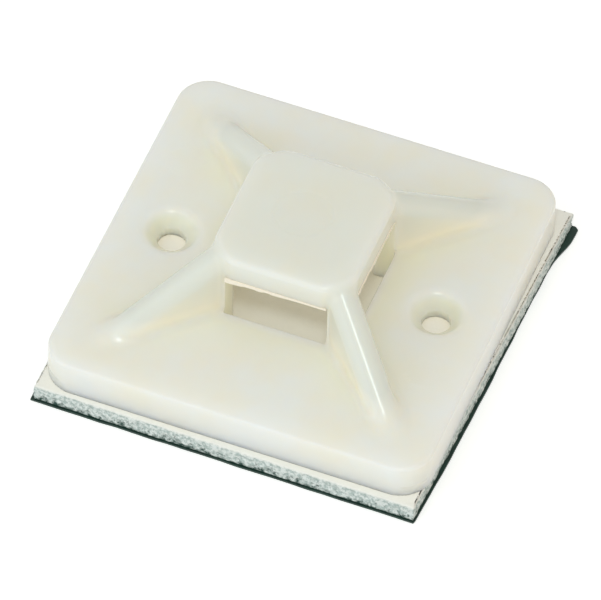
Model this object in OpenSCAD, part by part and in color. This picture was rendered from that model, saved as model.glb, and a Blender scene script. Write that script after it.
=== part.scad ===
// Cable tie mount: a square base plate with a four-way tie bridge carried by four
// diagonal legs, two countersunk screw holes, a foam pad and its release liner.
// The frame stands at the centre of the base plate, on the underside of the liner.

/* [Base plate] */
// Width of the square plate
plate_w = 27.4; // [26:0.1:34]
// Thickness of the plate
plate_t = 2.75; // [2.4:0.05:4]
// Radius of the plate's corners, seen from above
plate_corner_r = 2.3; // [1:0.1:3.5]
// Rounding of the plate's upper edge
plate_edge_r = 0.3; // [0.1:0.05:0.6]

/* [Bridge] */
// Width of the bridge, left to right
bridge_x = 10.2; // [9.6:0.1:12]
// Length of the bridge, front to back
bridge_y = 10.8; // [9.6:0.1:12]
// Height of the bridge's top above the plate
bridge_h = 5.5; // [4.8:0.1:7]
// Size of the cut across each corner of the bridge's top
bridge_chamfer = 1.55; // [0.8:0.05:2]
// Rounding of the bridge's upper edges
bridge_edge_r = 0.35; // [0.1:0.05:0.6]

/* [Tie windows] */
// Width of each of the four windows that a tie passes through
window_w = 7.3; // [5:0.1:7.6]
// Height of each window above the plate
window_h = 3.5; // [2.5:0.1:4]
// Step from the bridge's face out to the edge of the opening in the plate
window_step = 0.05; // [0.02:0.01:0.2]

/* [Legs] */
// Thickness of each leg, whose crest is fully rounded
leg_w = 2.1; // [1.4:0.1:2.6]
// Distance from the plate's corner in to the foot of each crest
leg_setback = 3.5; // [2.6:0.1:5]
// Drop from the bridge's top to the start of each crest
leg_drop = 0.25; // [0.1:0.05:0.6]

/* [Screw holes] */
// Distance between the two screw holes
hole_span = 19.1; // [17.5:0.1:20.5]
// Diameter of the neck that the screw's shank passes
neck_d = 2; // [1.6:0.1:2.6]
// Length of the neck
neck_l = 0.75; // [0.4:0.05:1.2]
// Diameter of the countersink at the plate's surface
sink_d = 3.9; // [3:0.1:5]
// Depth of the countersink
sink_depth = 0.95; // [0.5:0.05:1.1]
// Diameter of the wider relief below the neck
relief_d = 3.8; // [2.8:0.1:5]

/* [Foam pad] */
// Thickness of the pad
pad_t = 1.4; // [0.8:0.05:2.5]
// Overhang of the pad past each side of the plate
pad_over = 0.35; // [0.1:0.05:1]
// Shift of the pad to the right of the plate's centre
pad_shift = 0.2; // [0:0.05:0.5]
// Lean of the pad's right edge, from the back corner in to the front corner
pad_lean = 0.8; // [0:0.05:1.5]

/* [Release liner] */
// Thickness of the liner
liner_t = 0.15; // [0.08:0.01:0.3]
// Overhang of the liner past the pad
liner_over = 0.15; // [0.05:0.01:0.5]
// How far the liner's ear stands out at the back of its right edge
liner_ear = 0.35; // [0.1:0.05:1]
// Length of the ear at its root
liner_ear_l = 4; // [3:0.5:8]
// Length of the slope between the liner's edge and the ear's tip
liner_ear_slope = 2.7; // [1:0.1:3]

/* [Hidden] */
$fn = 96;
// Overshoot of a cut past the face that it opens
over = 1;
// Heights of the seams, from the liner's underside up
pad_z = liner_t;
plate_z = pad_z + pad_t;
// Distance from the centre to each cut corner of the bridge, along the diagonal
chamfer_reach = ((bridge_x + bridge_y) / 2 - bridge_chamfer) / sqrt(2);
// Rounding of the upper edge at each cut corner, a little sharper than the faces'
chamfer_edge_r = 0.8 * bridge_edge_r;
// Distance from the centre to the corners of the plate, along the diagonal
corner_reach = (plate_w / 2 - plate_corner_r) * sqrt(2) + plate_corner_r;
// Distance from the centre to the foot of each crest, and the crests' slope
leg_reach = corner_reach - leg_setback;
leg_slope = atan((bridge_h - leg_drop) / (leg_reach - chamfer_reach));
leg_r = leg_w / 2;
// Edges of the pad
pad_half = plate_w / 2 + pad_over;
pad_left = pad_shift - pad_half;
pad_right = pad_shift + pad_half;

// Cross-section of a bar: square below, with both upper edges rounded
module bar_section(width, height, edge_r) {
    for (side = [-1, 1])
        translate([side * (width / 2 - edge_r), height - edge_r])
            circle(edge_r);
    translate([-width / 2, 0])
        square([width, height - edge_r]);
    translate([-width / 2 + edge_r, 0])
        square([width - 2 * edge_r, height]);
}

// Bar along the X axis, standing on z = 0
module bar(length, width, height, edge_r) {
    rotate([90, 0, 90])
        linear_extrude(length, center = true)
            bar_section(width, height, edge_r);
}

// Disc with a rounded upper edge, standing on z = 0
module soft_disc(radius, height, edge_r) {
    rotate_extrude() {
        square([radius, height - edge_r]);
        square([radius - edge_r, height]);
        translate([radius - edge_r, height - edge_r])
            intersection() {
                circle(edge_r);
                square(edge_r);
            }
    }
}

// Square plate with round corners and a rounded upper edge
module base_plate() {
    corner = plate_w / 2 - plate_corner_r;
    bar(2 * corner, plate_w, plate_t, plate_edge_r);
    rotate([0, 0, 90])
        bar(2 * corner, plate_w, plate_t, plate_edge_r);
    for (x = [-1, 1], y = [-1, 1])
        translate([x * corner, y * corner, 0])
            soft_disc(plate_corner_r, plate_t, plate_edge_r);
}

// Block of the bridge before its windows are cut: four bars crossed at 45 degrees
module bridge_block() {
    height = plate_t + bridge_h;
    length = bridge_x + bridge_y;
    intersection() {
        bar(length, bridge_y, height, bridge_edge_r);
        rotate([0, 0, 90])
            bar(length, bridge_x, height, bridge_edge_r);
        rotate([0, 0, 45])
            bar(length, 2 * chamfer_reach, height, chamfer_edge_r);
        rotate([0, 0, -45])
            bar(length, 2 * chamfer_reach, height, chamfer_edge_r);
    }
}

// One leg along the X axis: a round crest over a straight web, clipped to run from
// inside the bridge's corner down to its foot inside the plate
module leg() {
    root = chamfer_reach - bridge_edge_r;
    crest_drop = leg_r / cos(leg_slope);
    intersection() {
        union() {
            translate([leg_reach, 0, plate_t - crest_drop])
                rotate([0, leg_slope - 90, 0])
                    cylinder(h = leg_reach / cos(leg_slope), r = leg_r);
            translate([leg_reach, 0, plate_t - crest_drop])
                rotate([90, 0, 180])
                    linear_extrude(leg_w, center = true)
                        polygon([[0, 0], [leg_reach, 0], [leg_reach, leg_reach * tan(leg_slope)]]);
        }
        translate([root, -leg_w, plate_t / 2])
            cube([corner_reach - root, 2 * leg_w, plate_t / 2 + bridge_h]);
    }
}

// Cross-shaped way for the ties: open at the four windows and at the underside
module tie_way() {
    front_back = [window_w, bridge_y + 2 * window_step];
    left_right = [bridge_x + 2 * window_step, window_w];
    for (arm = [front_back, left_right])
        translate([-arm[0] / 2, -arm[1] / 2, -over])
            cube([arm[0], arm[1], over + plate_t + window_h]);
}

// Screw hole, measured down from the plate's upper face at z = 0
module screw_hole() {
    sink_slope = (sink_d - neck_d) / 2 / sink_depth;
    translate([0, 0, -sink_depth])
        cylinder(h = sink_depth + over, d1 = neck_d, d2 = sink_d + 2 * over * sink_slope);
    translate([0, 0, -sink_depth - neck_l - over])
        cylinder(h = neck_l + 2 * over, d = neck_d);
    translate([0, 0, -plate_t - over])
        cylinder(h = over + plate_t - sink_depth - neck_l, d = relief_d);
}

// The moulded nylon mount, one piece
module mount_body() {
    color("ivory")
        translate([0, 0, plate_z])
            difference() {
                union() {
                    base_plate();
                    bridge_block();
                    for (angle = [45:90:315])
                        rotate([0, 0, angle])
                            leg();
                }
                tie_way();
                for (side = [-1, 1])
                    translate([side * hole_span / 2, 0, plate_t])
                        screw_hole();
            }
}

// The double-sided adhesive foam pad, cut a little out of square
module foam_pad() {
    color("gainsboro")
        translate([0, 0, pad_z])
            linear_extrude(pad_t)
                polygon([
                    [pad_left, pad_half],
                    [pad_left, -pad_half],
                    [pad_right - pad_lean, -pad_half],
                    [pad_right, pad_half]
                ]);
}

// The thin release liner under the pad, with a small ear at its back right corner
module release_liner() {
    half = pad_half + liner_over;
    left = pad_left - liner_over;
    right = pad_right + liner_over;
    root_y = half - liner_ear_l;
    root_right = right - pad_lean * liner_ear_l / (2 * half);
    color("darkslategray")
        linear_extrude(liner_t)
            polygon([
                [left, half],
                [left, -half],
                [right - pad_lean, -half],
                [root_right, root_y],
                [right + liner_ear, root_y + liner_ear_slope],
                [right + liner_ear, half]
            ]);
}

mount_body();
foam_pad();
release_liner();
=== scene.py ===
"""Looks for the cable tie mount: a moulded nylon mount on a foam pad with its release liner.

Lengths in the sections are in millimetres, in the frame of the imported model: X to the right,
Y to the back and Z up from the liner's underside. Each mesh is turned to metres when it is made.
"""

import bpy
import numpy as np
from mathutils import Matrix, Vector


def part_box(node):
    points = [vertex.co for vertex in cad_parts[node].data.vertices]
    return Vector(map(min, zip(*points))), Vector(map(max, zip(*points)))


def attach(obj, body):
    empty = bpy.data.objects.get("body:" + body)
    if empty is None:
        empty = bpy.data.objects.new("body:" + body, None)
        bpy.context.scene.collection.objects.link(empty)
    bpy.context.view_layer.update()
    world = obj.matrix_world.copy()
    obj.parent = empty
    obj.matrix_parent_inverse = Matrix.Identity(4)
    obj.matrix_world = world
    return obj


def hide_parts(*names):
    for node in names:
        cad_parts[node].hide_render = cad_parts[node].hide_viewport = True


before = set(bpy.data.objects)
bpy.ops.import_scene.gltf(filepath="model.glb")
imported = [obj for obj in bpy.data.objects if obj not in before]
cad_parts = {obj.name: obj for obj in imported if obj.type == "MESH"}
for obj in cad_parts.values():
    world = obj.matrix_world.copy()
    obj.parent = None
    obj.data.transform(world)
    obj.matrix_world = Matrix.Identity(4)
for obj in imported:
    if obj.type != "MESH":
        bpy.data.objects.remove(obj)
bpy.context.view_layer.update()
MM = 0.001

# ---------------------------------------------------------------------------------------
# Camera. A long lens looks down on the mount from the front right, at about 50 degrees
# above the table and turned 20 degrees, with a slight roll.
# ---------------------------------------------------------------------------------------
CAMERA_TURN, CAMERA_LIFT, CAMERA_ROLL = np.radians([20.133, 50.046, 1.620])
CAMERA_DISTANCE = 646.8
CAMERA_OFFSET = np.array([0.219, 1.922])
LENS, SENSOR = 576.3, 36.0

foam_low, foam_high = (np.array(corner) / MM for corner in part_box("foam_pad"))
PLATE_T = 2.75
PLATE_TOP = foam_high[2] + PLATE_T

back = np.array(
    [
        np.sin(CAMERA_TURN) * np.cos(CAMERA_LIFT),
        -np.cos(CAMERA_TURN) * np.cos(CAMERA_LIFT),
        np.sin(CAMERA_LIFT),
    ]
)
level = np.array([np.cos(CAMERA_TURN), np.sin(CAMERA_TURN), 0.0])
upright = np.cross(back, level)
right = np.cos(CAMERA_ROLL) * level + np.sin(CAMERA_ROLL) * upright
up = np.cos(CAMERA_ROLL) * upright - np.sin(CAMERA_ROLL) * level
place = (
    np.array([0.0, 0.0, PLATE_TOP])
    + CAMERA_DISTANCE * back
    - CAMERA_OFFSET[0] * right
    - CAMERA_OFFSET[1] * up
)
lens = bpy.data.cameras.new("camera")
lens.lens, lens.sensor_width = LENS, SENSOR
lens.clip_start, lens.clip_end = 0.05, 5.0
camera = bpy.data.objects.new("camera", lens)
camera.matrix_world = Matrix.Translation(Vector(place * MM)) @ Matrix(
    np.column_stack([right, up, back]).tolist()
).to_4x4()
bpy.context.scene.collection.objects.link(camera)
bpy.context.scene.camera = camera

# ---------------------------------------------------------------------------------------
# Moulded mount. Natural nylon, injection moulded in one shot: a square plate with round
# corners, a four-way bridge on four diagonal legs, and two countersunk screw holes. The
# tool leaves soft fillets at the legs and faint round marks where its pins push.
# ---------------------------------------------------------------------------------------
PLATE_HALF = np.array(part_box("mount_body")[1])[0] / MM
PLATE_CORNER_R = 2.3
PLATE_EDGE_R = 0.22
FOOT_EDGE_R = 0.05
BRIDGE_HALF_X, BRIDGE_HALF_Y = 5.1, 5.4
BRIDGE_H = 5.5
BRIDGE_CHAMFER = 1.55
BRIDGE_EDGE_R = 0.4
BRIDGE_CORNER_BLEND = 0.5
WINDOW_HALF = 3.65
WINDOW_H = 3.5
WINDOW_STEP = 0.05
WINDOW_EDGE_R = 0.06
LEG_R = 1.05
LEG_TOP = 5.25
LEG_FOOT = 14.92
LEG_FILLET = 0.7
LEG_ROOT_BLEND = 0.4
HOLE_X = 9.55
NECK_R = 1.0
SINK_R, SINK_DEPTH = 1.95, 0.95
NECK_L = 0.75
RELIEF_R = 1.9
SINK_LIP = 0.25
# Pin marks: X, Y, radius, depth and the height of the face above the plate
PIN_MARKS = (
    (-0.3, 0.35, 2.0, 0.02, BRIDGE_H),
    (10.7, -5.1, 1.35, 0.015, 0.0),
    (-11.0, 5.9, 1.35, 0.015, 0.0),
)
PIN_MARK_EDGE = 0.12
# Reaches at which the enclosure is sampled, and the share of it that goes into the painted glow
SHELTER_REACHES, PAINTED_GLOW_SHARE = (2.0, 3.4, 4.8), 0.8
# Lengths over which the painted shade and the painted glow change: up from the plate, out along
# a leg, into a tie way and down a screw hole
PAINTED_SHADE_FROM, PAINTED_SHADE_RISE = 0.1, 1.2
LEG_LEAD, LEG_FADE = 0.3, 0.9
WAY_FADE, HOLE_FADE, FADE_MARGIN = 0.3, 0.5, 0.1


def soft_or(a, b, blend):
    """Union of two fields: the lower one, less blend / 4 times the square of their nearness."""
    near = np.maximum(blend - np.abs(a - b), 0.0) / blend
    return np.minimum(a, b) - near * near * blend / 4


def soft_and(a, b, blend):
    """Overlap of two fields, with a blended edge: the union of their outsides, turned over."""
    return -soft_or(-a, -b, blend)


def round_and(a, b, radius):
    """Overlap of two fields whose common edge is an arc of that radius."""
    edge = np.hypot(np.maximum(a + radius, 0.0), np.maximum(b + radius, 0.0)) - radius
    return np.where((a > -radius) & (b > -radius), edge, np.maximum(a, b))


def body_field(x, y, z):
    """Distance to the moulding's surface, below zero inside. z is measured from the plate's top.

    The plate is a square with round corners, cut off above and below by rounded edges. The
    bridge is an octagon with a rounded top. A leg is a ridge along the diagonal whose crest
    falls in a straight line: a half circle above, upright flanks below. The tie ways are two
    crossed boxes, and a screw hole is a cone, a neck and a relief around one axis.
    """
    ax, ay = np.abs(x), np.abs(y)
    flat = PLATE_HALF - PLATE_CORNER_R
    qx, qy = ax - flat, ay - flat
    outline = (
        np.hypot(np.maximum(qx, 0.0), np.maximum(qy, 0.0))
        + np.minimum(np.maximum(qx, qy), 0.0)
        - PLATE_CORNER_R
    )
    top = z
    for mark_x, mark_y, radius, depth, face in PIN_MARKS:
        inside = (radius - np.hypot(x - mark_x, y - mark_y)) / PIN_MARK_EDGE
        near_face = np.abs(z - face) < 0.5
        top = top + near_face * depth * np.clip(inside + 0.5, 0.0, 1.0)
    plate = round_and(outline, top, PLATE_EDGE_R)
    plate = round_and(plate, -PLATE_T - z, FOOT_EDGE_R)

    reach = (BRIDGE_HALF_X + BRIDGE_HALF_Y - BRIDGE_CHAMFER) / np.sqrt(2)
    diagonal = (ax + ay) / np.sqrt(2)
    bridge = soft_and(ax - BRIDGE_HALF_X, ay - BRIDGE_HALF_Y, BRIDGE_CORNER_BLEND)
    bridge = soft_and(bridge, diagonal - reach, BRIDGE_CORNER_BLEND)

    across = np.abs(ax - ay) / np.sqrt(2)
    fall = LEG_TOP / (LEG_FOOT - reach)
    crest = LEG_TOP - fall * (diagonal - reach)
    above = (z - crest) / np.sqrt(1 + fall * fall) + LEG_R
    leg = np.hypot(across, np.maximum(above, 0.0)) - LEG_R
    leg = np.maximum(leg, reach - BRIDGE_EDGE_R - diagonal)

    tower = round_and(soft_or(bridge, leg, LEG_ROOT_BLEND), top - BRIDGE_H, BRIDGE_EDGE_R)
    tower = np.maximum(tower, -PLATE_T / 2 - z)
    body = soft_or(tower, plate, LEG_FILLET)

    way = np.minimum(
        np.maximum(ax - WINDOW_HALF, ay - BRIDGE_HALF_Y - WINDOW_STEP),
        np.maximum(ay - WINDOW_HALF, ax - BRIDGE_HALF_X - WINDOW_STEP),
    )
    way = np.maximum(way, z - WINDOW_H)
    body = round_and(body, -way, WINDOW_EDGE_R)

    radius = np.hypot(ax - HOLE_X, y)
    slope = (SINK_R - NECK_R) / SINK_DEPTH
    cone = (radius - NECK_R - slope * (z + SINK_DEPTH)) / np.sqrt(1 + slope * slope)
    neck = np.maximum(radius - NECK_R, -PLATE_T - 1 - z)
    relief = np.maximum(radius - RELIEF_R, z + SINK_DEPTH + NECK_L)
    cone = np.maximum(cone, np.abs(z) - SINK_DEPTH)
    sink = np.minimum(cone, neck)
    body = soft_and(body, -sink, SINK_LIP)
    return np.maximum(body, -relief)


def slope_of(field, points, reach):
    """Gradient of a field at each point, from central differences over the given reach."""
    slopes = np.empty_like(points)
    for axis in range(3):
        step = np.zeros(3)
        step[axis] = reach
        ahead, behind = (points + step).T, (points - step).T
        slopes[:, axis] = (field(*ahead) - field(*behind)) / (2 * reach)
    return slopes


def spaced(stops, steps):
    """Rising grid lines through the stops, with about the given step between each pair."""
    runs = [
        np.linspace(a, b, max(1, round((b - a) / step)) + 1)[:-1]
        for a, b, step in zip(stops, stops[1:], steps)
    ]
    return np.concatenate(runs + [[stops[-1]]])


def skin(field, xs, ys, zs):
    """Closed quad mesh around the inside of a field, sampled on a grid of boxes.

    Each box that the surface passes through gets one point, at the mean of the places where
    the surface crosses the box's edges, then moved along the slope onto the surface. Each
    crossed edge gets one quad, between the four boxes around it, facing outwards.
    """
    lines = (xs, ys, zs)
    values = field(*np.meshgrid(*lines, indexing="ij"))
    inside = values < 0
    boxes = tuple(n - 1 for n in values.shape)
    total, count = np.zeros(boxes + (3,)), np.zeros(boxes)
    crossings = []
    for axis in range(3):
        low = tuple(slice(0, -1) if a == axis else slice(None) for a in range(3))
        high = tuple(slice(1, None) if a == axis else slice(None) for a in range(3))
        at = np.argwhere(inside[low] != inside[high])
        f0, f1 = values[low][tuple(at.T)], values[high][tuple(at.T)]
        point = np.stack([lines[a][at[:, a]] for a in range(3)], axis=1)
        gap = lines[axis][at[:, axis] + 1] - lines[axis][at[:, axis]]
        point[:, axis] += gap * f0 / (f0 - f1)
        b, c = (axis + 1) % 3, (axis + 2) % 3
        around = []
        for db, dc in ((-1, -1), (0, -1), (0, 0), (-1, 0)):
            box = at.copy()
            box[:, b] += db
            box[:, c] += dc
            np.add.at(total, tuple(box.T), point)
            np.add.at(count, tuple(box.T), 1)
            around.append(box)
        crossings.append((around, f0 < 0))
    used = np.argwhere(count > 0)
    number = np.full(boxes, -1)
    number[tuple(used.T)] = np.arange(len(used))
    points = total[tuple(used.T)] / count[tuple(used.T)][:, None]
    quads = []
    for around, outwards in crossings:
        quad = np.stack([number[tuple(box.T)] for box in around], axis=1)
        quads.append(np.where(outwards[:, None], quad, quad[:, ::-1]))
    for _ in range(4):
        slopes = slope_of(field, points, 0.01)
        steepness = np.maximum((slopes * slopes).sum(axis=1), 0.25)
        move = -(field(*points.T) / steepness)[:, None] * slopes
        points += np.clip(move, -0.05, 0.05)
    return points, np.concatenate(quads)


def shelter(field, points, normals):
    """How enclosed each point is: 0 on an open face, rising in a corner or a cavity.

    Along the normal, an open face's field rises by the distance gone. The shortfall of that
    rise is taken at several distances and averaged.
    """
    total = np.zeros(len(points))
    for reach in SHELTER_REACHES:
        rise = field(*(points + reach * normals).T)
        total += np.clip(1 - rise / reach, 0.0, 1.5) / len(SHELTER_REACHES)
    return total


def painted_shade_share(x, y, z):
    """Share of the painted shade: 0 on the plate, about half on the bridge and 1 on the legs,
    rising with height.
    """
    reach = (BRIDGE_HALF_X + BRIDGE_HALF_Y - BRIDGE_CHAMFER) / np.sqrt(2)
    diagonal = (np.abs(x) + np.abs(y)) / np.sqrt(2)
    on_leg = np.clip((diagonal - reach + LEG_LEAD) / LEG_FADE, 0, 1)
    return np.clip((z - PAINTED_SHADE_FROM) / PAINTED_SHADE_RISE, 0, 1) * (0.5 + 0.5 * on_leg)


def inside_ways(x, y, z):
    """Mask of the painted glow: 1 on the walls of the tie ways and of the screw holes, 0 outside
    them.
    """
    under_bridge = np.minimum(BRIDGE_HALF_X - np.abs(x), BRIDGE_HALF_Y - np.abs(y))
    under_bridge = np.minimum(under_bridge, WINDOW_H + FADE_MARGIN - z)
    in_hole = np.minimum(SINK_R + FADE_MARGIN - np.hypot(np.abs(x) - HOLE_X, y), -z)
    return np.clip(under_bridge / WAY_FADE, 0, 1) + np.clip(in_hole / HOLE_FADE, 0, 1)


def solid_object(name, points, faces):
    """Smooth-shaded object from points in millimetres and faces."""
    mesh = bpy.data.meshes.new(name)
    mesh.from_pydata((points * MM).tolist(), [], list(faces))
    mesh.polygons.foreach_set("use_smooth", np.ones(len(mesh.polygons), dtype=bool))
    mesh.update()
    piece = bpy.data.objects.new(name, mesh)
    bpy.context.scene.collection.objects.link(piece)
    return piece


def linear(hex_colour, alpha=1.0):
    """Linear RGBA of an sRGB hex colour."""
    srgb = np.array([int(hex_colour[i : i + 2], 16) for i in (0, 2, 4)]) / 255
    flat = np.where(srgb <= 0.04045, srgb / 12.92, ((srgb + 0.055) / 1.055) ** 2.4)
    return (*flat.tolist(), alpha)


def add_node(tree, kind, settings=None, **inputs):
    """Adds a node, sets its properties, and fills its inputs with values or links."""
    node = tree.nodes.new(kind)
    for key, value in (settings or {}).items():
        setattr(node, key, value)
    for key, value in inputs.items():
        socket = node.inputs[int(key[1:]) if key[1:].isdigit() else key.replace("_", " ")]
        if isinstance(value, bpy.types.NodeSocket):
            tree.links.new(value, socket)
        else:
            socket.default_value = value
    return node


def blend(tree, share, first, second):
    """Colour mixed from the first to the second as the share goes from 0 to 1."""
    return add_node(
        tree, "ShaderNodeMix", {"data_type": "RGBA"}, _0=share, _6=first, _7=second
    ).outputs[2]


def new_material(name):
    """Empty node material and its tree, with an output node."""
    material = bpy.data.materials.new(name)
    material.use_nodes = True
    material.node_tree.nodes.clear()
    return material, material.node_tree


# Natural nylon 66 off a fine-polished tool: milky and faintly translucent. A slow cloudiness
# comes from the flow of the melt. Corners, cavities and the walls of the tie ways and screw
# holes carry a painted glow, brighter and warmer, for light come through the nylon; the bridge
# and legs carry a painted shade, greyer and cooler, rising with height.
NYLON_PALE, NYLON_WARM = "F3F4EE", "F6F1E3"
NYLON_PAINTED_SHADE, NYLON_PAINTED_GLOW = "DEE1D9", "FFF6E0"
CLOUD_MM = 4.5
MOULD_RIPPLE_MM = 1.6
nylon, tree = new_material("natural_nylon_66_moulded")
where = add_node(tree, "ShaderNodeTexCoord").outputs["Object"]
cloud = add_node(
    tree, "ShaderNodeTexNoise", Vector=where, Scale=1 / (CLOUD_MM * MM), Detail=3.0, Roughness=0.5
).outputs["Fac"]
cloud = add_node(
    tree, "ShaderNodeMapRange", Value=cloud, From_Min=0.35, From_Max=0.65
).outputs["Result"]
open_colour = blend(tree, cloud, linear(NYLON_WARM), linear(NYLON_PALE))
# Painted shade: the bridge and legs turn greyer and cooler as they rise from the plate.
painted_shade_fac = add_node(tree, "ShaderNodeAttribute", {"attribute_name": "painted_shade"}).outputs["Fac"]
open_colour = blend(tree, painted_shade_fac, open_colour, linear(NYLON_PAINTED_SHADE))
# Painted glow: corners, cavities, tie ways and screw holes turn a brighter, warmer cream.
painted_glow_fac = add_node(tree, "ShaderNodeAttribute", {"attribute_name": "painted_glow"}).outputs["Fac"]
shade = blend(tree, painted_glow_fac, open_colour, linear(NYLON_PAINTED_GLOW))
ripple = add_node(
    tree,
    "ShaderNodeTexNoise",
    Vector=where,
    Scale=1 / (MOULD_RIPPLE_MM * MM),
    Detail=3.0,
    Roughness=0.55,
).outputs["Fac"]
relief_bump = add_node(
    tree, "ShaderNodeBump", Height=ripple, Strength=0.25, Distance=0.03 * MM
).outputs["Normal"]
shader = add_node(
    tree,
    "ShaderNodeBsdfPrincipled",
    Base_Color=shade,
    Roughness=0.27,
    IOR=1.53,
    Subsurface_Weight=1.0,
    Subsurface_Radius=(2.5, 2.3, 2.0),
    Subsurface_Scale=1.0 * MM,
    Normal=relief_bump,
)
add_node(tree, "ShaderNodeOutputMaterial", Surface=shader.outputs["BSDF"])

side_lines = spaced(
    (-13.95, -13.0, -6.3, 6.3, 13.0, 13.95),
    (0.1, 0.24, 0.15, 0.24, 0.1),
)
height_lines = spaced((-2.9, -2.5, -0.5, 0.3, 4.9, 5.65), (0.1, 0.18, 0.085, 0.16, 0.085))
points, quads = skin(body_field, side_lines, side_lines, height_lines)
NORMAL_REACH = 0.03
normals = slope_of(body_field, points, NORMAL_REACH)
normals /= np.linalg.norm(normals, axis=1)[:, None]
# Share of the painted glow: how enclosed each point is, or whether it lies in a tie way or a screw
# hole.
painted_glow = PAINTED_GLOW_SHARE * shelter(body_field, points, normals)
painted_glow = np.maximum(painted_glow, inside_ways(*points.T))
# Share of the painted shade, from the height and the place along the legs
painted_shade = painted_shade_share(*points.T)
points[:, 2] += PLATE_TOP
moulding = solid_object("nylon_moulding", points, quads)
moulding.data.normals_split_custom_set_from_vertices(normals.tolist())
for name, amounts in (("painted_glow", painted_glow), ("painted_shade", painted_shade)):
    layer = moulding.data.attributes.new(name, "FLOAT", "POINT")
    layer.data.foreach_set("value", np.clip(amounts, 0, 1))
moulding.data.materials.append(nylon)
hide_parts("mount_body")
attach(moulding, "root")

# Flash: where the two halves of the tool met at a window's upper edge, a thin ragged fin of
# nylon hangs from it. Its thickness, the step along it, its root and its clearance.
FLASH_T, FLASH_STEP, FLASH_ROOT, FLASH_END = 0.07, 0.04, 0.12, 0.02
FRONT_STAND_OUT, SIDE_STAND_OUT = 0.01, 0.02
# How far each fin hangs, and the spacing and depth of its tears. The front one hangs further
# towards its left end.
FRONT_HANG, FRONT_HANG_LEFT, FRONT_TEAR_L, FRONT_TEAR = 0.02, 0.20, 0.5, 0.10
SIDE_HANG, SIDE_TEAR_L, SIDE_TEAR = 0.05, 0.35, 0.22


def ragged(rng, places, spacing, low, high):
    """Drop of a torn edge: random drops at about that spacing, held level with short ramps."""
    knots = np.arange(0, np.ptp(places) + 2 * spacing, spacing)
    drops = rng.uniform(low, high, len(knots))
    u = (places - places.min()) / spacing
    i = u.astype(int)
    t = np.clip((u - i - 0.5) / 0.35 + 0.5, 0, 1)
    return drops[i] * (1 - t) + drops[i + 1] * t


def fin(along, drop, thickness):
    """Closed fin from x to x: a four-cornered section, rooted above z = 0 and hanging to -drop."""
    across = np.array([0.0, thickness, thickness, 0.0])
    section = np.zeros((len(along), 4, 3))
    section[:, :, 0] = along[:, None]
    section[:, :, 1] = across[None, :]
    section[:, :, 2] = np.array([FLASH_ROOT, FLASH_ROOT, 0.0, 0.0])[None, :]
    section[:, 2:, 2] = -drop[:, None]
    return section


def tube_faces(count):
    """Quads round a run of four-cornered sections, closed by a quad at each end."""
    here = np.arange(count - 1) * 4
    faces = [
        np.column_stack([here + a, here + (a + 1) % 4, here + 4 + (a + 1) % 4, here + 4 + a])
        for a in range(4)
    ]
    last = 4 * (count - 1)
    ends = np.array([[3, 2, 1, 0], [last, last + 1, last + 2, last + 3]])
    return np.concatenate(faces + [ends])


rng = np.random.default_rng(7)
along = np.arange(-WINDOW_HALF + FLASH_END, WINDOW_HALF - FLASH_END, FLASH_STEP)
left_part = np.clip(0.5 - along / (2 * WINDOW_HALF), 0, 1)
tears = ragged(rng, along, FRONT_TEAR_L, 0.0, FRONT_TEAR) * (0.3 + left_part)
drop = FRONT_HANG + FRONT_HANG_LEFT * left_part**2 + tears
front_fin = fin(along, drop, FLASH_T)
front_fin = front_fin + [0.0, -BRIDGE_HALF_Y - FRONT_STAND_OUT, WINDOW_H + PLATE_TOP]
drop = SIDE_HANG + ragged(rng, along, SIDE_TEAR_L, 0.0, SIDE_TEAR)
side_fin = fin(along, drop, FLASH_T)[:, :, [1, 0, 2]] * [-1, 1, 1]
side_fin = side_fin + [BRIDGE_HALF_X + SIDE_STAND_OUT, 0.0, WINDOW_H + PLATE_TOP]
quads = tube_faces(len(along))
points = np.concatenate([front_fin.reshape(-1, 3), side_fin.reshape(-1, 3)])
flash = solid_object("nylon_flash", points, np.concatenate([quads, quads + 4 * len(along)]))
flash.data.polygons.foreach_set("use_smooth", np.zeros(len(flash.data.polygons), dtype=bool))

# The fin is too thin to scatter much light inside, so it looks paler and less milky.
FLASH_CREAM = "FFF6E6"
film, tree = new_material("natural_nylon_66_flash")
shader = add_node(
    tree, "ShaderNodeBsdfPrincipled", Base_Color=linear(FLASH_CREAM), Roughness=0.4, IOR=1.53
)
add_node(tree, "ShaderNodeOutputMaterial", Surface=shader.outputs["BSDF"])
flash.data.materials.append(film)
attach(flash, "root")

# ---------------------------------------------------------------------------------------
# Foam pad. White closed-cell foam tape with adhesive on both faces, cut from the roll by
# hand, so it is a little out of square and its cut edges are rough and open, darker towards the
# liner.
# ---------------------------------------------------------------------------------------
FOAM_LEFT, FOAM_RIGHT = foam_low[0], foam_high[0]
FOAM_LEAN, FOAM_SKEW, FOAM_BACK_TRIM, FOAM_CLEARANCE = 0.85, 0.1, 0.1, 0.01
FOAM_FRONT, FOAM_BACK = foam_low[1], foam_high[1] - FOAM_BACK_TRIM
FOAM_UNDER, FOAM_TOP = foam_low[2], foam_high[2] - FOAM_CLEARANCE
CUT_STEP, CUT_ROWS = 0.09, 17
CUT_EDGE_R, CUT_RIM, CUT_PROUD = 0.07, 0.25, 0.06
CORNER_SOFTNESS = 0.25
# Plug of foam in the relief under each screw hole
PLUG_CLEARANCE, PLUG_DROP, PLUG_EDGE_R, PLUG_CORNERS = 0.04, 0.03, 0.35, 64
PLUG_R = RELIEF_R - PLUG_CLEARANCE
PLUG_TOP = PLATE_TOP - SINK_DEPTH - NECK_L - PLUG_DROP
# Coarse torn cells and the fine grain on them: spacing and depth
CUT_GRAINS = ((0.55, 0.05), (0.22, 0.06), (0.11, 0.05))


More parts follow.
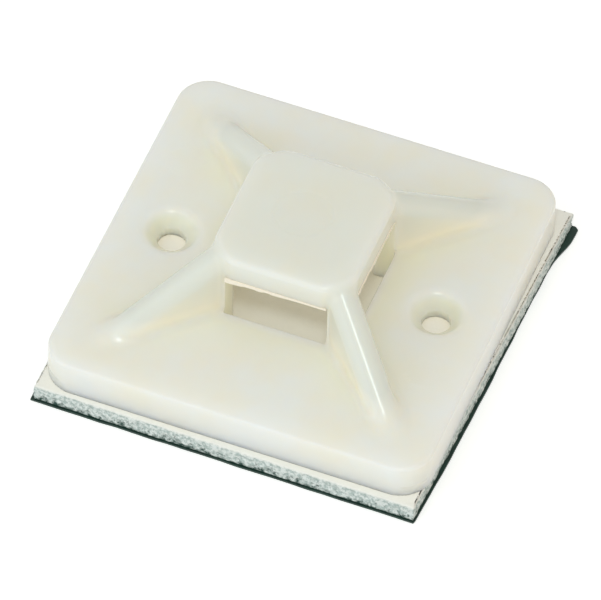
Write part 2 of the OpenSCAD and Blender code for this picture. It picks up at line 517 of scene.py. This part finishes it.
def walk_round(corners, step):
    """Points about a step apart round a polygon, counterclockwise, and their outward normals.

    Each side runs evenly from corner to corner. A normal stands square to its side, and close
    to a corner it swings over to the mean of the two sides' normals.
    """
    places, normals = [], []
    sides = np.roll(corners, -1, axis=0) - corners
    square = np.column_stack([sides[:, 1], -sides[:, 0]])
    square /= np.linalg.norm(square, axis=1)[:, None]
    for i, (start, side) in enumerate(zip(corners, sides)):
        length = np.hypot(*side)
        along = np.linspace(0, 1, max(3, round(length / step)), endpoint=False)[:, None]
        before = np.clip(1 - along * length / CORNER_SOFTNESS, 0, 1) / 2
        after = np.clip(1 - (1 - along) * length / CORNER_SOFTNESS, 0, 1) / 2
        swing = square[i] * (1 - before - after) + square[i - 1] * before
        swing = swing + square[(i + 1) % len(sides)] * after
        places.append(start + along * side)
        normals.append(swing / np.linalg.norm(swing, axis=1)[:, None])
    return np.concatenate(places), np.concatenate(normals)


def grain(rng, columns, rows, across, down):
    """Smooth random surface from -1 to 1 on a grid that closes on itself along its columns.

    Random heights stand at `across` by `down` knots, and each point takes the mean of the four
    knots around it, weighted by an S-shaped function of its place between them.
    """
    heights = rng.uniform(-1, 1, (across, down + 1))
    u = np.arange(columns) * across / columns
    v = np.linspace(0, down, rows) * 0.9999
    i, j = u.astype(int), v.astype(int)
    a, b = u - i, v - j
    a, b = (a * a * (3 - 2 * a))[:, None], (b * b * (3 - 2 * b))[None, :]
    left, right_knot = heights[i], heights[(i + 1) % across]
    return (left[:, j] * (1 - b) + left[:, j + 1] * b) * (1 - a) + (
        right_knot[:, j] * (1 - b) + right_knot[:, j + 1] * b
    ) * a


def rings_to_mesh(rings, bottom_pole, top_pole):
    """Closed mesh from rings of points, listed upwards, each counterclockwise from above.

    Neighbouring rings are joined by quads, and the first and last by fans to their poles.
    """
    count, size = len(rings), len(rings[0])
    points = np.concatenate([rings.reshape(-1, 3), [bottom_pole, top_pole]])
    here = np.arange(size)
    after = (here + 1) % size
    faces = []
    for low in range(count - 1):
        a, b = low * size, (low + 1) * size
        faces += np.column_stack([a + here, a + after, b + after, b + here]).tolist()
    first, last = count * size, count * size + 1
    top = (count - 1) * size
    faces += np.column_stack([after, here, np.full(size, first)]).tolist()
    faces += np.column_stack([top + here, top + after, np.full(size, last)]).tolist()
    return points, faces


foam_corners = np.array(
    [
        [FOAM_LEFT, FOAM_FRONT + FOAM_SKEW],
        [FOAM_RIGHT - FOAM_LEAN, FOAM_FRONT - FOAM_SKEW],
        [FOAM_RIGHT, FOAM_BACK],
        [FOAM_LEFT, FOAM_BACK],
    ]
)
edge, outwards = walk_round(foam_corners, CUT_STEP)
heights = np.linspace(0, 1, CUT_ROWS)
FOAM_SIDE_L = 28
rng = np.random.default_rng(28)
rough = sum(
    depth
    * grain(
        rng,
        len(edge),
        len(heights),
        round(4 * FOAM_SIDE_L / spacing),
        max(1, round((FOAM_TOP - FOAM_UNDER) / spacing)),
    )
    for spacing, depth in CUT_GRAINS
)
# The cut face leans back at its upper and lower edges by a quarter circle
from_edge = np.minimum(heights, 1 - heights) * (FOAM_TOP - FOAM_UNDER)
lean_back = CUT_EDGE_R - np.sqrt(
    np.maximum(CUT_EDGE_R**2 - np.maximum(CUT_EDGE_R - from_edge, 0) ** 2, 0)
)
rim = np.clip(from_edge / CUT_RIM, 0, 1)
out = np.minimum(rough, CUT_PROUD) * rim[None, :] - lean_back[None, :]
levels = FOAM_UNDER + heights * (FOAM_TOP - FOAM_UNDER)
side = np.concatenate(
    [
        edge[None, :, :] + outwards[None, :, :] * out.T[:, :, None],
        np.broadcast_to(levels[:, None, None], (len(levels), len(edge), 1)),
    ],
    axis=2,
)
middle = foam_corners.mean(axis=0)
shrink = np.array([0.6, 0.85, 0.96, 0.985, 0.995])[:, None, None]
face_outline = np.concatenate([edge, np.zeros((len(edge), 1))], axis=1)[None, :, :]
centre = np.array([middle[0], middle[1], 0.0])
flat_rings = centre + (face_outline - centre) * shrink
under, over = flat_rings.copy(), flat_rings[::-1].copy()
under[:, :, 2], over[:, :, 2] = FOAM_UNDER, FOAM_TOP
points, faces = rings_to_mesh(
    np.concatenate([under, side, over]),
    [middle[0], middle[1], FOAM_UNDER],
    [middle[0], middle[1], FOAM_TOP],
)
# Where the pad is pressed into the relief under each screw hole, it stands up as a soft plug
turn = np.linspace(0, 2 * np.pi, PLUG_CORNERS, endpoint=False)
circle = np.column_stack([np.cos(turn), np.sin(turn), np.zeros(PLUG_CORNERS)])
rise = np.linspace(0, np.pi / 2, 8)
rounded = PLUG_R - PLUG_EDGE_R * (1 - np.cos(rise))
plug_radii = np.concatenate([[PLUG_R], rounded, [PLUG_R - 0.7, PLUG_R - 1.1, PLUG_R - 1.5]])
plug_heights = np.concatenate(
    [
        [FOAM_TOP - 0.3],
        PLUG_TOP - PLUG_EDGE_R * (1 - np.sin(rise)),
        [PLUG_TOP + 0.05, PLUG_TOP + 0.1, PLUG_TOP + 0.12],
    ]
)
for side_of_plate in (-1, 1):
    axis_point = np.array([side_of_plate * HOLE_X, 0.0, 0.0])
    rings = axis_point + circle[None, :, :] * plug_radii[:, None, None]
    rings[:, :, 2] = plug_heights[:, None]
    plug, plug_faces = rings_to_mesh(
        rings, axis_point + [0, 0, plug_heights[0]], axis_point + [0, 0, plug_heights[-1] + 0.01]
    )
    faces = faces + [[i + len(points) for i in face] for face in plug_faces]
    points = np.concatenate([points, plug])
foam = solid_object("foam_tape_pad", points, np.array(faces, dtype=object))

# Foam: white cells that scatter all light. The cut faces are mottled grey, with dark green
# patches that grow denser towards the liner.
FOAM_FILM, FOAM_WHITE, FOAM_GREY, FOAM_DARK_PATCH = "F6F5EE", "E6ECE9", "B2C0BC", "2C4A42"
CELL_MM, DARK_PATCH_MM = 0.25, 0.42
foam_material, tree = new_material("closed_cell_foam_tape")
where = add_node(tree, "ShaderNodeTexCoord").outputs["Object"]
height = add_node(tree, "ShaderNodeSeparateXYZ", Vector=where).outputs["Z"]
depth = add_node(
    tree,
    "ShaderNodeMapRange",
    Value=height,
    From_Min=FOAM_UNDER * MM,
    From_Max=FOAM_TOP * MM,
    To_Min=1.0,
    To_Max=0.0,
).outputs["Result"]
cells = add_node(
    tree, "ShaderNodeTexNoise", Vector=where, Scale=1 / (CELL_MM * MM), Detail=2.0, Roughness=0.6
).outputs["Fac"]
cut = add_node(
    tree, "ShaderNodeMapRange", Value=depth, From_Min=0.02, From_Max=0.16
).outputs["Result"]
grey = add_node(
    tree, "ShaderNodeMapRange", Value=cells, From_Min=0.40, From_Max=0.62
).outputs["Result"]
dark_patches = add_node(
    tree, "ShaderNodeTexNoise", Vector=where, Scale=1 / (DARK_PATCH_MM * MM), Detail=4.0, Roughness=0.65
).outputs["Fac"]
dark_patches = add_node(
    tree, "ShaderNodeMath", {"operation": "MULTIPLY_ADD"}, _0=depth, _1=0.42, _2=dark_patches
).outputs[0]
dark_patches = add_node(
    tree, "ShaderNodeMapRange", Value=dark_patches, From_Min=0.78, From_Max=0.96
).outputs["Result"]
dark_patches = add_node(
    tree, "ShaderNodeMath", {"operation": "MULTIPLY"}, _0=dark_patches, _1=cut
).outputs[0]
cut_colour = blend(tree, grey, linear(FOAM_WHITE), linear(FOAM_GREY))
body_colour = blend(tree, cut, linear(FOAM_FILM), cut_colour)
foam_colour = blend(tree, dark_patches, body_colour, linear(FOAM_DARK_PATCH))
cell_bump = add_node(
    tree, "ShaderNodeBump", Height=cells, Strength=0.6, Distance=0.06 * MM
).outputs["Normal"]
shader = add_node(
    tree,
    "ShaderNodeBsdfPrincipled",
    Base_Color=foam_colour,
    Roughness=0.85,
    Normal=cell_bump,
)
add_node(tree, "ShaderNodeOutputMaterial", Surface=shader.outputs["BSDF"])
foam.data.materials.append(foam_material)
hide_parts("foam_pad")
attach(foam, "root")

# ---------------------------------------------------------------------------------------
# Release liner. Thin dark green siliconed paper under the foam, cut with it by hand. It
# creeps out past the foam along its sides and ends in a small ear at the back right.
# ---------------------------------------------------------------------------------------
LINER_T = foam_low[2]
LINER_LEFT_OVER, LINER_FRONT_OVER, LINER_BACK_OVER = 0.25, 0.1, 0.06
LINER_RIGHT_OVER, LINER_RIGHT_WAVE = 0.12, 0.1
LINER_WAVE_L, LINER_WAVE_SHIFT, LINER_STEP = 30.0, 6, 0.2
EAR_OUT, EAR_FROM, EAR_TO = 0.42, 10.2, 12.9
LINER_RIPPLE = 0.025


def smooth_step(value, low, high):
    """S-shaped rise from 0 at low to 1 at high."""
    t = np.clip((value - low) / (high - low), 0, 1)
    return t * t * (3 - 2 * t)


liner_corners = foam_corners + np.array(
    [
        [-LINER_LEFT_OVER, -LINER_FRONT_OVER],
        [0.0, -LINER_FRONT_OVER],
        [0.0, LINER_BACK_OVER],
        [-LINER_LEFT_OVER, LINER_BACK_OVER],
    ]
)
edge, outwards = walk_round(liner_corners, LINER_STEP)
on_right = np.clip(outwards[:, 0], 0, 1) ** 2
phase = 2 * np.pi * (edge[:, 1] + LINER_WAVE_SHIFT) / LINER_WAVE_L
wave = LINER_RIGHT_OVER + LINER_RIGHT_WAVE * np.cos(phase)
wave = wave + EAR_OUT * smooth_step(edge[:, 1], EAR_FROM, EAR_TO)
ripple = LINER_RIPPLE * grain(rng, len(edge), 1, 90, 1)[:, 0]
edge = edge + outwards * ripple[:, None]
edge[:, 0] += wave * on_right
outline = np.concatenate([edge, np.zeros((len(edge), 1))], axis=1)[None, :, :]
flat_rings = centre + (outline - centre) * np.array([0.6, 0.97, 1.0])[:, None, None]
under, over = flat_rings.copy(), flat_rings[::-1].copy()
over[:, :, 2] = LINER_T
points, faces = rings_to_mesh(
    np.concatenate([under, over]), [middle[0], middle[1], 0.0], [middle[0], middle[1], LINER_T]
)
liner = solid_object("release_liner_sheet", points, np.array(faces, dtype=object))
liner.data.polygons.foreach_set("use_smooth", np.zeros(len(liner.data.polygons), dtype=bool))

# Siliconed paper, dyed dark green: a smooth face with a low sheen.
LINER_GREEN, LINER_DARK = "1F4438", "0F231D"
liner_material, tree = new_material("siliconed_liner_paper")
where = add_node(tree, "ShaderNodeTexCoord").outputs["Object"]
fibres = add_node(
    tree, "ShaderNodeTexNoise", Vector=where, Scale=1 / (0.6 * MM), Detail=4.0
).outputs["Fac"]
liner_colour = blend(tree, fibres, linear(LINER_GREEN), linear(LINER_DARK))
shader = add_node(tree, "ShaderNodeBsdfPrincipled", Base_Color=liner_colour, Roughness=0.45)
add_node(tree, "ShaderNodeOutputMaterial", Surface=shader.outputs["BSDF"])
liner.data.materials.append(liner_material)
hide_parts("release_liner")
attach(liner, "root")

# ---------------------------------------------------------------------------------------
# Floor and light. A plain white table and a pale surround. Two small lamps high in front
# give the glints, a large one stands at the front left, one fills the front, and a warm
# card lights the right side.
# ---------------------------------------------------------------------------------------
FLOOR_HALF, FLOOR_GLOW, FLOOR_WHITE = 600.0, 0.45, "E6E6E4"
SURROUND_STRENGTH, SURROUND_TINT = 0.62, "FFFEF8"


def either(tree, first, second):
    """The larger of two values."""
    return add_node(
        tree, "ShaderNodeMath", {"operation": "MAXIMUM"}, _0=first, _1=second
    ).outputs[0]


floor = solid_object(
    "floor",
    np.array([[-1, -1, 0], [1, -1, 0], [1, 1, 0], [-1, 1, 0]]) * FLOOR_HALF,
    np.array([[0, 1, 2, 3]]),
)
white, tree = new_material("white_table")
rays = add_node(tree, "ShaderNodeLightPath").outputs
seen = either(tree, rays["Is Camera Ray"], rays["Is Glossy Ray"])
seen = either(tree, seen, rays["Is Transmission Ray"])
glow_strength = add_node(
    tree, "ShaderNodeMath", {"operation": "MULTIPLY"}, _0=seen, _1=FLOOR_GLOW
).outputs[0]
table_top = add_node(tree, "ShaderNodeBsdfDiffuse", Color=linear(FLOOR_WHITE)).outputs["BSDF"]
glow = add_node(tree, "ShaderNodeEmission", Strength=glow_strength).outputs["Emission"]
both = add_node(tree, "ShaderNodeAddShader", _0=table_top, _1=glow).outputs["Shader"]
add_node(tree, "ShaderNodeOutputMaterial", Surface=both)
floor.data.materials.append(white)

world = bpy.data.worlds.new("studio")
bpy.context.scene.world = world
world.use_nodes = True
tree = world.node_tree
tree.nodes.clear()
rays = add_node(tree, "ShaderNodeLightPath").outputs
seen = either(tree, rays["Is Camera Ray"], rays["Is Transmission Ray"])
strength = add_node(
    tree, "ShaderNodeMapRange", Value=seen, To_Min=SURROUND_STRENGTH, To_Max=1.0
).outputs["Result"]
tint = blend(tree, seen, linear(SURROUND_TINT), linear("FFFFFF"))
surround = add_node(
    tree, "ShaderNodeBackground", Color=tint, Strength=strength
).outputs["Background"]
add_node(tree, "ShaderNodeOutputWorld", Surface=surround)


def soft_lamp(name, towards, distance, width, height, power, colour):
    """Rectangular lamp at that distance along a direction, facing the object.

    Distance, width and height are in millimetres, and power is in watts.
    """
    lamp = bpy.data.lights.new(name, "AREA")
    lamp.shape, lamp.size, lamp.size_y, lamp.energy = "RECTANGLE", width * MM, height * MM, power
    lamp.color = linear(colour)[:3]
    holder = bpy.data.objects.new(name, lamp)
    direction = Vector(towards).normalized()
    holder.matrix_world = Matrix.Translation(direction * distance * MM) @ direction.to_track_quat(
        "Z", "Y"
    ).to_matrix().to_4x4()
    bpy.context.scene.collection.objects.link(holder)


bpy.context.scene.view_settings.view_transform = "Standard"
soft_lamp("top_lamp", (0.17, -0.48, 0.86), 600, 80, 80, 0.66, "EEF7FB")
soft_lamp("glint_lamp", (-0.22, -0.515, 0.83), 600, 40, 40, 0.10, "EEF7FB")
soft_lamp("key_lamp", (-0.60, -0.60, 0.55), 500, 300, 300, 0.25, "E0EDF8")
soft_lamp("front_fill", (-0.20, -1.0, 0.25), 600, 500, 200, 0.42, "EAF3F8")
soft_lamp("side_card", (1.0, -0.05, 0.15), 600, 500, 200, 0.22, "FFC98C")
bpy.context.scene.cycles.diffuse_bounces = 8
bpy.context.scene.cycles.max_bounces = 16

bpy.context.view_layer.update()
